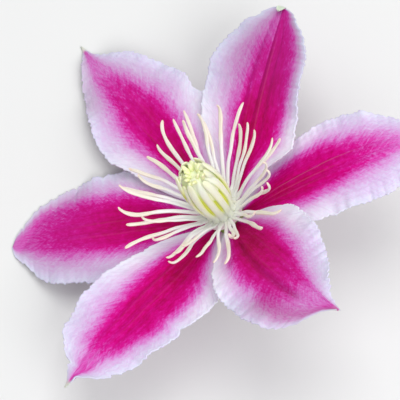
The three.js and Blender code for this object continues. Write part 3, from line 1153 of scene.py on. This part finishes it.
SEPALS = (
    Sepal(
        name="sepal_upper_left", layer=1, towards=130.5, length=55.5, rise=14, arch=12, sweep=0,
        left=(4.6, 7.5, 10.2, 13.1, 10.6, 7.6, 3.8, 1.2), right=(4.5, 9, 14, 15, 12.7, 8.8, 3.7, 1),
        roll=(0.5, 0.5), waves=3.5, wave_height=1, phase=0.1,
        bar_left=(0.25, 0.31, 0.35, 0.41, 0.37, 0.52, 0.5),
        bar_right=(0.25, 0.32, 0.37, 0.43, 0.35, 0.3, 0.3),
        fade=(0.0, 0.13, 0.35, 0.56, 0.5), seed=1, tip_shade=0.25,
        nicks=(Nick(Side.RIGHT, 0.46, 0.8, 1.3),),
        creases=(Crease(0.9, 0.35, 0.0, 0.6, 1.25, 0.22),),
    ),
    Sepal(
        name="sepal_top", layer=2, towards=67, length=47, rise=19, arch=14, sweep=2.8,
        left=(4.8, 8, 12.1, 14.3, 14.6, 12.5, 9.8, 5.7),
        right=(5, 7.5, 13.4, 12.7, 10.8, 10, 7.7, 4.4),
        roll=(-0.6, 0.8), waves=2.5, wave_height=0.7, phase=0.6,
        bar_left=(0.2, 0.21, 0.25, 0.3, 0.33, 0.32, 0.3),
        bar_right=(0.4, 0.5, 0.6, 0.66, 0.7, 0.68, 0.6),
        fade=(0.0, 0.03, 0.14, 0.26, 0.36), seed=2, step=0.2, tip_shade=0.44,
        tip_half_width=3.8, blunt=0.05, point_length=2.3, point_curl=150,
        veins=((-0.12, 0.98, 0.14), (0.1, 0.9, 0.05)),
        creases=(
            Crease(-0.03, 0.018, 0.24, 0.3, 1.0, 0.18),
            Crease(-0.27, 0.025, 0.15, 0.25, 0.97, 0.12),
            Crease(0.2, 0.03, 0.12, 0.3, 0.95, 0.08),
        ),
    ),
    Sepal(
        name="sepal_right", layer=0, towards=15.5, length=53.5, rise=9, arch=12, sweep=-1.5,
        left=(5.2, 9, 11, 13, 11.6, 7.3, 3.5, 1.6), right=(5, 8.7, 11.5, 12, 11.6, 9.4, 5, 2),
        roll=(-0.4, -0.4), waves=3, wave_height=0.7, phase=0.35,
        bar_left=(0.35, 0.55, 0.55, 0.48, 0.46, 0.42, 0.35),
        bar_right=(0.35, 0.4, 0.38, 0.34, 0.3, 0.28, 0.25),
        fade=(0.0, 0.13, 0.44, 0.62, 0.54), seed=3,
        veins=((0.17, 0.68, 0.42), (0.03, 0.58, 0.2), (-0.12, 0.5, 0.12)),
        creases=(
            Crease(0.11, 0.02, 0.12, 0.1, 0.75, 0.15),
            Crease(-0.1, 0.02, 0.12, 0.1, 0.7, 0.12),
        ),
    ),
    Sepal(
        name="sepal_lower_right", layer=2, towards=-49.5, length=48.4, rise=21, arch=14, sweep=4.5,
        left=(6.5, 10, 12.9, 12.6, 9.7, 6.2, 2.6, 0.8),
        right=(5.5, 8.8, 12.6, 14.7, 14.6, 13.2, 8.8, 2.2),
        roll=(-0.8, -0.8), waves=3, wave_height=0.9, phase=0.8,
        bar_left=(0.4, 0.42, 0.41, 0.37, 0.3, 0.25, 0.25),
        bar_right=(0.4, 0.5, 0.51, 0.52, 0.66, 0.8, 0.8),
        fade=(0.0, 0.08, 0.36, 0.56, 0.42), seed=4, green_tip=0.2, tip_shade=0.08, tip_half_width=0.3,
        creases=(
            Crease(-0.25, 0.065, 0.6, 0.12, 0.84, 0.45),
            Crease(0.12, 0.03, 0.12, 0.15, 0.7, 0.12),
            Crease(-0.66, 0.26, 0.0, 0.56, 1.2, 0.34),
        ),
    ),
    Sepal(
        name="sepal_lower_left", layer=1, towards=-120, length=52.5, rise=13.5, arch=10, sweep=-3.5,
        left=(4.7, 9.8, 15.5, 14.6, 12.7, 10.3, 6.6, 1),
        right=(5.5, 8.5, 11.2, 13.6, 13, 10.9, 5.3, 1.8),
        roll=(0.3, 0.3), waves=4, wave_height=0.6, phase=0.55,
        bar_left=(0.4, 0.48, 0.56, 0.64, 0.53, 0.38, 0.3),
        bar_right=(0.4, 0.45, 0.4, 0.35, 0.34, 0.27, 0.25),
        fade=(0.0, 0.09, 0.23, 0.46, 0.4), seed=5,
        nicks=(
            Nick(Side.LEFT, 0.515, 1.25, 1.4), Nick(Side.LEFT, 0.3, 0.55, 1.0),
            Nick(Side.LEFT, 0.935, 0.8, 0.8), Nick(Side.LEFT, 0.85, 0.6, 0.6),
            Nick(Side.RIGHT, 0.895, 1.1, 0.6), Nick(Side.RIGHT, 0.82, 0.5, 0.5),
        ),
        creases=(Crease(-0.17, 0.02, 0.1, 0.15, 0.6, 0.15),),
    ),
    Sepal(
        name="sepal_left", layer=0, towards=186, length=49.2, rise=9, arch=12, sweep=1.2,
        left=(4.6, 8.5, 12, 13.4, 13, 11.8, 8.3, 4.4), right=(4.4, 9, 14, 15.2, 14, 11.4, 8, 4.4),
        roll=(-0.6, -0.6), waves=3, wave_height=0.7, phase=0.2,
        bar_left=(0.35, 0.4, 0.42, 0.42, 0.38, 0.36, 0.4),
        bar_right=(0.4, 0.48, 0.52, 0.57, 0.66, 0.76, 0.78),
        fade=(0.0, 0.08, 0.25, 0.38, 0.55), seed=6, tip_half_width=3.2, blunt=0.05, tip_shade=0.3,
        nicks=(
            Nick(Side.RIGHT, 0.53, 0.5, 0.8), Nick(Side.RIGHT, 0.68, 0.45, 0.7),
            Nick(Side.RIGHT, 0.6, 0.25, 0.6),
        ),
        creases=(
            Crease(0.06, 0.02, 0.1, 0.15, 0.8, 0.1), Crease(-1.0, 0.3, 0.0, 0.55, 1.3, 0.16),
        ),
    ),
)


# ---------------------------------------------------------------- stamens and boss

WIDTH_WAVES = ((3.9, 0.06), (6.5, 0.1))
SWAY_WAVES = ((7.1, 0.05), (11.3, 0.12))
WIDTH_SPREAD = 0.24
WIDTH_MIDDLE = 0.6
# The straps' own numbers go round from 0 to 1 in steps of this size.
OWN_STEP = 0.618


@dataclass(frozen=True)
class Strap:
    """Where one stamen grows and how it bends. Lengths in millimetres, angles in degrees.

    It spreads over its lower part, bends from bend_from of its length and hooks from
    hook_from. rooted gives the radius and height that its first spine points have instead.
    """

    compass: float
    radius: float
    height: float
    length: float
    slopes: tuple[float, float]
    hook: float
    sway: float
    curl: float
    joints: int
    tip_hook: float = 0.0
    uneven: float = 0.0
    rooted: Rows = ()
    spread_to: float = 0.6
    bend_from: float = 0.62
    hook_from: float = 0.87

    def spot(self, radius: float, height: float) -> Array:
        """Return the point at that radius and height on the strap's side of the flower."""
        return level(self.compass) * radius + UP * height

    def spine(self) -> Array:
        """Return the points of its spine in the flower's frame."""
        points = [self.spot(self.radius, self.height)]
        for i in range(self.joints):
            t = (i + 0.5) / self.joints
            bend = max(0.0, (t - self.bend_from) / (1 - self.bend_from)) ** 1.5
            bend += self.tip_hook * max(0.0, (t - self.hook_from) / (1 - self.hook_from))
            spread = (self.slopes[1] - self.slopes[0]) * min(1.0, t / self.spread_to)
            slope = math.radians(self.slopes[0] + spread + self.hook * bend)
            heading = level(self.compass + self.sway * t + self.curl * bend)
            step = heading * math.cos(slope) + UP * math.sin(slope)
            points.append(points[-1] + step * self.length / self.joints)
        for i, (radius, height) in enumerate(self.rooted):
            points[i] = self.spot(radius, height)
        return np.array(points)

    def grow(self, pattern: Piece, pose: Pose, own: float) -> Piece:
        """Copy a straight pattern strap and bend it onto the spine.

        Args:
            pattern: Straight strap, 1 long, its section in millimetres.
            pose: How the flower lies.
            own: The strap's own number from 0 to 1, for its tint and its width.

        Returns:
            The strap in its place.
        """
        twin = add(pattern.name, pattern.data.copy())
        straight = points_of(twin)
        along, seed = straight[:, 2], round(self.compass * 10)
        distance, side = along * self.length, level(self.compass + 90)
        swollen = smoothstep(along, 0.45, 0.6) * ripple(distance, WIDTH_WAVES, seed)
        # Straps with a larger own number are a little wider all along.
        wider = WIDTH_SPREAD * (own - WIDTH_MIDDLE)
        straight[:, 0] *= (1 + self.uneven * wider) * (1 + self.uneven * swollen)
        swaying = smoothstep(along, 0.2, 0.5) * ripple(distance, SWAY_WAVES, seed + 1)
        bent = along_spine(straight, self.spine(), side)
        move_points(twin, pose.to_room(bent + (self.uneven * swaying)[:, None] * side))
        carry(twin, along=along, across=straight[:, 0] / np.abs(straight[:, 0]).max(), own=own)
        return twin


def strap_pattern(name: str, sides: int, width: float, thickness: float, profile: Rows) -> Piece:
    """Model a straight strap, 1 long.

    Args:
        name: Name of the pattern.
        sides: Number of its sides.
        width: Full width, in millimetres.
        thickness: Full thickness, in millimetres.
        profile: Place along, share of the width and share of the thickness.

    Returns:
        The strap, standing on the origin.
    """
    at, wide, thick = zip(*profile)
    places = np.concatenate([np.linspace(0, 0.94, 34), np.linspace(0.94, 1.0, 6)[1:]])
    widths = smooth_through(at, wide, places) * width
    depths = smooth_through(at, thick, places) * thickness
    return loft(name, sides, tuple(zip(places, widths, depths)))


def grow_all(straps: list[Strap], patterns: list[Piece], pose: Pose) -> list[Piece]:
    """Grow straps from the patterns in turn, and then remove the patterns.

    Args:
        straps: The straps.
        patterns: Straight straps to copy.
        pose: How the flower lies.

    Returns:
        The straps in their places.
    """
    pieces = [
        strap.grow(patterns[i % len(patterns)], pose, i * OWN_STEP % 1.0)
        for i, strap in enumerate(straps)
    ]
    for pattern in patterns:
        remove(pattern)
    return pieces


@dataclass
class OuterStamens:
    """The spreading stamens and the low collar that they grow from."""

    draws: Draws
    count: int = 40
    length: float = 21.2
    width: float = 1.05
    thickness: float = 0.65
    collar: Rows = ((5.8, 4.9), (6.3, 5.2), (6.9, 5.1), (7.2, 4.6), (7.3, 3.4))
    profile: Rows = (
        (0.0, 1.0, 1.0), (0.2, 0.92, 0.85), (0.5, 0.88, 0.8), (0.66, 0.97, 1.0), (0.8, 0.92, 0.95),
        (0.9, 0.82, 0.88), (0.965, 0.68, 0.75), (0.99, 0.46, 0.5), (1.0, 0.14, 0.16),
    )

    def straps(self) -> list[Strap]:
        """Draw the stamens' places and bends, in the order that their solids use."""
        draw = self.draws.between
        return [
            Strap(
                compass=360 * (i + draw(0.1, 0.9)) / self.count, radius=4.4, height=6.5,
                length=self.length * draw(0.85, 1.08), slopes=(draw(50, 64), draw(20, 46)),
                hook=draw(-10, 48), sway=draw(-16, 16), curl=draw(-36, 36), joints=21,
                tip_hook=0.9, uneven=1.0, rooted=((3.2, 7.1), (4.2, 7.5), (4.95, 8.0)),
            )
            for i in range(self.count)
        ]

    def build(self, pose: Pose) -> Piece:
        """Model one stamen, bend a copy to each place and join them to the collar.

        Args:
            pose: How the flower lies.

        Returns:
            The dressed stamens.
        """
        pattern = strap_pattern("stamen", 10, self.width, self.thickness, self.profile)
        pieces = grow_all(self.straps(), [pattern], pose)
        collar = round_loft("collar", 40, self.collar)
        carry(collar, along=0, across=0, own=0)
        move_points(collar, pose.to_room(points_of(collar)))
        piece = join("outer_stamens_fine", [collar, *pieces])
        piece.data.materials.append(StamenFinish().make("stamen"))
        return piece


@dataclass
class Boss:
    """The erect inner stamens round a core, with the styles' tips curling out at the top.

    The straps are by turns inner ones, which show as yellow-green grooves, and outer ones.
    inner_and_outer gives the radius, the radius of the root and the first slope of both.
    """

    draws: Draws
    count: int = 24
    length: float = 19.2
    width: float = 1.9
    inner_width: float = 2.28
    thickness: float = 0.85
    inner_and_outer: Rows = ((2.8, 3.5, 72.6), (3.0, 4.0, 70))
    styles: int = 14
    style_width: float = 1.1
    style_thickness: float = 0.9
    profile: Rows = (
        (0.0, 0.85, 0.9), (0.17, 0.9, 1.0), (0.36, 0.86, 1.0), (0.5, 0.92, 1.0), (0.64, 1.0, 0.95),
        (0.82, 1.02, 0.9), (0.93, 0.86, 0.76), (0.985, 0.54, 0.5), (1.0, 0.15, 0.2),
    )
    core: Rows = (
        (5.9, 2.9), (6.6, 3.0), (7.4, 3.1), (9.2, 3.4), (11, 3.8), (13.5, 4.2),
        (16, 4.35), (18, 4.4), (20, 4.3), (22, 3.95), (23.6, 3.2), (24.7, 1.6),
    )
    core_fade: float = 17.0
    core_streaks: float = 1.5

    def straps(self) -> list[Strap]:
        """Draw the broad straps in the order that their solids use."""
        draw = self.draws.between
        return [
            Strap(
                compass=360 * (i + draw(0.3, 0.7)) / self.count, radius=radius, height=7.6,
                length=self.length * draw(0.9, 1.05), slopes=(slope, draw(91, 96)),
                hook=draw(15, 60), sway=draw(-12, 12), curl=draw(-40, 40), joints=12,
                rooted=((root, 7.2),),
            )
            for i, (radius, root, slope) in zip(range(self.count), cycle(self.inner_and_outer))
        ]

    def style_tips(self) -> list[Strap]:
        """Draw the styles' tips in the order that their solids use."""
        draw = self.draws.between
        return [
            Strap(
                compass=360 * (i + draw(0.2, 0.8)) / self.styles, radius=draw(0.3, 2.1),
                height=21.2, length=draw(4.5, 6.5), slopes=(85, 75),
                hook=draw(-90, 20), sway=draw(-40, 40), curl=draw(-60, 60), joints=8,
            )
            for i in range(self.styles)
        ]

    def build(self, pose: Pose) -> Piece:
        """Model the core, the straps and the styles and join them.

        Args:
            pose: How the flower lies.

        Returns:
            The dressed boss.
        """
        patterns = [
            strap_pattern("strap", 12, width, self.thickness, self.profile)
            for width in (self.inner_width, self.width)
        ]
        straps = grow_all(self.straps(), patterns, pose)
        for i, piece in enumerate(straps):
            carry(piece, inner=(i + 1) % 2)
        thin = strap_pattern("style", 8, self.style_width, self.style_thickness, self.profile)
        styles = grow_all(self.style_tips(), [thin], pose)
        core = round_loft("core", 36, self.core)
        shape = points_of(core)
        turn = np.arctan2(shape[:, 1], shape[:, 0])
        fade = (shape[:, 2] - self.core[0][0]) / self.core_fade
        carry(core, along=fade, across=turn * self.core_streaks)
        move_points(core, pose.to_room(shape))
        for pieces, material in (
            (straps, BossFinish().make("boss_strap")),
            (styles, Green.STYLE.value.make("style")),
            ([core], Green.CORE.value.make("boss_core")),
        ):
            for piece in pieces:
                piece.data.materials.append(material)
        return join("inner_stamens_and_styles_fine", [core, *straps, *styles])


# ---------------------------------------------------------------- receptacle and stalk


@dataclass
class Stalk:
    """The green stalk, swollen into the receptacle at its top, with fine pale hairs.

    It starts at the height top, hidden in the boss, runs straight down to straight_to below
    the flower's origin and lies on the surface at low_points, which are measured from the
    place of the flower's foot. swelling gives its radius at distances down from the origin,
    and cut the rings of its slightly hollow end: place along and share of the radius there.
    The hairs grow over hair_zone, two shares of the length.
    """

    radius: float = 1.3
    top: float = 5.5
    straight_to: float = 2.5
    low_points: Rows = ((10.5, -7.5), (16, -11.5), (21, -15.2))
    heading: float = -36.0
    swelling: Rows = (
        (-5.5, 3.3), (-5.0, 3.9), (-4.3, 4.1), (-1.0, 4.1), (-0.2, 3.7), (0.6, 3.0),
        (1.4, 2.2), (2.4, 1.65), (3.8, 1.35), (6, 1.3),
    )
    cut: Rows = ((1.0, 0.86), (0.997, 0.774))
    ridge: float = 0.035
    fine_ridge: float = 0.02
    hairs: int = 520
    hair_seed: int = 21
    hair_rings: Rows = ((0, 0.05), (0.5, 0.03), (1.0, 0.005))
    hair_zone: tuple[float, float] = (0.16, 0.99)
    hair_lengths: tuple[float, float] = (0.5, 1.1)
    hair_lean: tuple[float, float] = (-0.012, 0.02)
    hair_rooted: float = 0.05

    def path(self, pose: Pose) -> Array:
        """Follow the stalk's middle line from the receptacle's top to the cut end.

        Args:
            pose: How the flower lies.

        Returns:
            Evenly spaced points in the flower's frame.
        """
        low = np.array([(x, y, self.radius) for x, y in self.low_points]) + (*pose.place, 0.0)
        upright = [UP * z for z in (self.top, self.top / 2, 0, -self.straight_to)]
        knots = np.concatenate([upright, pose.to_flower(low)])
        at = walked(knots)
        line = smooth_line(at, knots, np.linspace(0, at[-1], 600))
        far = walked(line)
        even = np.linspace(0, far[-1], 90)
        return np.stack([np.interp(even, far, line[:, k]) for k in range(3)], 1)

    def build(self, pose: Pose) -> Piece:
        """Model the stalk as a lofted rod bent onto its path, and add its hairs.

        Args:
            pose: How the flower lies.

        Returns:
            The dressed stalk.
        """
        path = self.path(pose)
        total = walked(path)[-1]
        at, sizes = zip(*self.swelling)
        places = np.concatenate([np.linspace(0, 0.35, 40), np.linspace(0.35, 1, 40)[1:]])
        radii = smooth_through(at, sizes, np.clip(places * total - self.top, at[0], at[-1]))
        cut = [(place, radii[-1] * share) for place, share in self.cut]
        rod = round_loft("stalk", 28, (*zip(places, radii), *cut))
        straight = points_of(rod)
        turn = np.arctan2(straight[:, 1], straight[:, 0])
        # Six ridges run down the stalk, and twelve finer ones over the receptacle.
        low = smoothstep(straight[:, 2] * total, 8, 12)
        ridges = self.ridge * np.cos(6 * turn) * low
        ridges += self.fine_ridge * np.cos(12 * turn) * (1 - low)
        straight[:, :2] *= 1 + ridges[:, None]
        bent = along_spine(straight, path, level(self.heading + 90))
        move_points(rod, pose.to_room(bent, clear=0.0))
        carry(rod, along=straight[:, 2] * 3, across=turn)
        rod.data.materials.append(Green.STALK.value.make("stalk"))
        hairs = self.grow_hairs(pose, path, radii, places)
        hairs.data.materials.append(Green.DOWN.value.make("stalk_hair"))
        return join("receptacle_and_stalk_fine", [rod, hairs])

    def grow_hairs(self, pose: Pose, path: Array, radii: Array, places: Array) -> Piece:
        """Model one hair and set a copy of its shape at each drawn place.

        Args:
            pose: How the flower lies.
            path: The stalk's middle line.
            radii: The stalk's radii.
            places: Places of those radii along the stalk.

        Returns:
            All the hairs as one piece.
        """
        pattern = round_loft("hair", 3, self.hair_rings)
        hair, rng = points_of(pattern), np.random.default_rng(self.hair_seed)
        t = rng.uniform(*self.hair_zone, self.hairs)
        turn = rng.uniform(0, FULL_TURN, self.hairs)
        length = rng.uniform(*self.hair_lengths, self.hairs)
        leaned = t + rng.uniform(*self.hair_lean, self.hairs)
        radius = np.interp(t, places, radii) - self.hair_rooted
        straight = [
            np.stack([r * np.cos(turn), r * np.sin(turn), z], 1)
            for r, z in ((radius, t), (radius + length, leaned))
        ]
        start, end = (along_spine(ends, path, level(self.heading + 90)) for ends in straight)
        grow = unit(end - start)
        helper = np.where(np.abs(grow[:, 2:]) < 0.9, UP, [1, 0, 0])
        first = unit(np.cross(grow, helper))
        axes = np.stack([first, np.cross(grow, first), grow * length[:, None]], 1)
        room = pose.to_room((start[:, None] + hair @ axes).reshape(-1, 3), clear=0.02)
        faces = [list(face.vertices) for face in pattern.data.polygons]
        starts = range(0, len(room), len(hair))
        mesh = bpy.data.meshes.new("hairs")
        mesh.from_pydata(room.tolist(), [], [[v + s for v in f] for s in starts for f in faces])
        remove(pattern)
        piece = add("hairs", mesh)
        carry(piece, along=0, across=0)
        return piece


# ---------------------------------------------------------------- studio


@dataclass(frozen=True)
class Lamp:
    """A soft square light that points at the origin. Lengths in metres."""

    name: str
    spot: tuple[float, float, float]
    size: float
    watts: float


@dataclass(frozen=True)
class Studio:
    """Pale floor, soft lights and the camera, which looks steeply down on the flower.

    The receptacle stands at flower_pixel in a square picture. distance and sensor are in
    millimetres, elevation is in degrees.
    """

    elevation: float = 76.0
    distance: float = 450.0
    pixels_per_mm: float = 4.2
    flower_pixel: tuple[float, float] = (231.0, 222.0)
    picture: float = 400.0
    sensor: float = 36.0
    sky: Row = (0.95, 0.97, 1.0, 1.0)
    sky_strength: float = 0.52
    floor: Colour = tone(222, 222, 220)
    floor_patch: Colour = tone(230, 230, 229)
    lamps: tuple[Lamp, ...] = (
        Lamp("key", (0.0, 0.35, 0.87), 0.6, 3.9),
        Lamp("fill", (0.36, -0.38, 0.7), 0.6, 3.7),
    )

    def place_camera(self, pose: Pose) -> None:
        """Set the camera so that the flower fills the picture as in the photograph."""
        e = math.radians(self.elevation)
        up, back = np.array([[0, math.sin(e), math.cos(e)], [0, -math.cos(e), math.sin(e)]])
        aside, below = (np.array(self.flower_pixel) - self.picture / 2) / self.pixels_per_mm
        spot = pose.foot() + back * self.distance - level(0) * aside + up * below
        data = bpy.data.cameras.new("camera")
        data.sensor_width = self.sensor
        data.lens = self.sensor * self.distance * self.pixels_per_mm / self.picture
        data.clip_start, data.clip_end = 0.01, 10.0
        camera = add("camera", data)
        camera.location = tuple(spot * MM)
        camera.rotation_euler = (math.radians(90 - self.elevation), 0, 0)
        bpy.context.scene.camera = camera

    def place_floor(self) -> None:
        """Lay the pale floor."""
        start_clean()
        bpy.ops.mesh.primitive_plane_add(size=4, location=(0, 0, 0))
        floor = bpy.context.object
        floor.name = "floor"
        b = Board("floor")
        soft = b.noise(b.node("ShaderNodeTexCoord", {}, {}, "Object"), scale=3.0)
        b.set(Base_Color=b.layers(self.floor, (soft, self.floor_patch)), Roughness=0.8)
        floor.data.materials.append(b.material)

    def place_lights(self) -> None:
        """Hang two large soft lights and give the room a soft white surround."""
        world = bpy.data.worlds.new("studio")
        world.use_nodes = True
        surround = world.node_tree.nodes["Background"].inputs
        surround["Color"].default_value = self.sky
        surround["Strength"].default_value = self.sky_strength
        bpy.context.scene.world = world
        for lamp in self.lamps:
            data = bpy.data.lights.new(lamp.name, "AREA")
            data.size = lamp.size
            data.energy = lamp.watts
            light = add(lamp.name, data)
            light.location = lamp.spot
            x, y, z = lamp.spot
            turn = math.atan2(-x, y) + math.pi
            light.rotation_euler = (math.atan2(math.hypot(x, y), z), 0, turn)
        bpy.context.scene.view_settings.view_transform = "Standard"


def main() -> None:
    """Build the flower and its studio in order."""
    logging.basicConfig(level=logging.INFO, format="%(message)s")
    pose, studio, draws = Pose(), Studio(), Draws(SEED)
    studio.place_camera(pose)
    studio.place_floor()
    studio.place_lights()
    for sepal in SEPALS:
        finish_piece(sepal.build(pose), sepal.name)
    finish_piece(OuterStamens(draws).build(pose), "outer_stamens")
    finish_piece(Boss(draws).build(pose), "inner_stamens_and_styles")
    finish_piece(Stalk().build(pose), "receptacle_and_stalk")


if __name__ == "__main__":
    main()
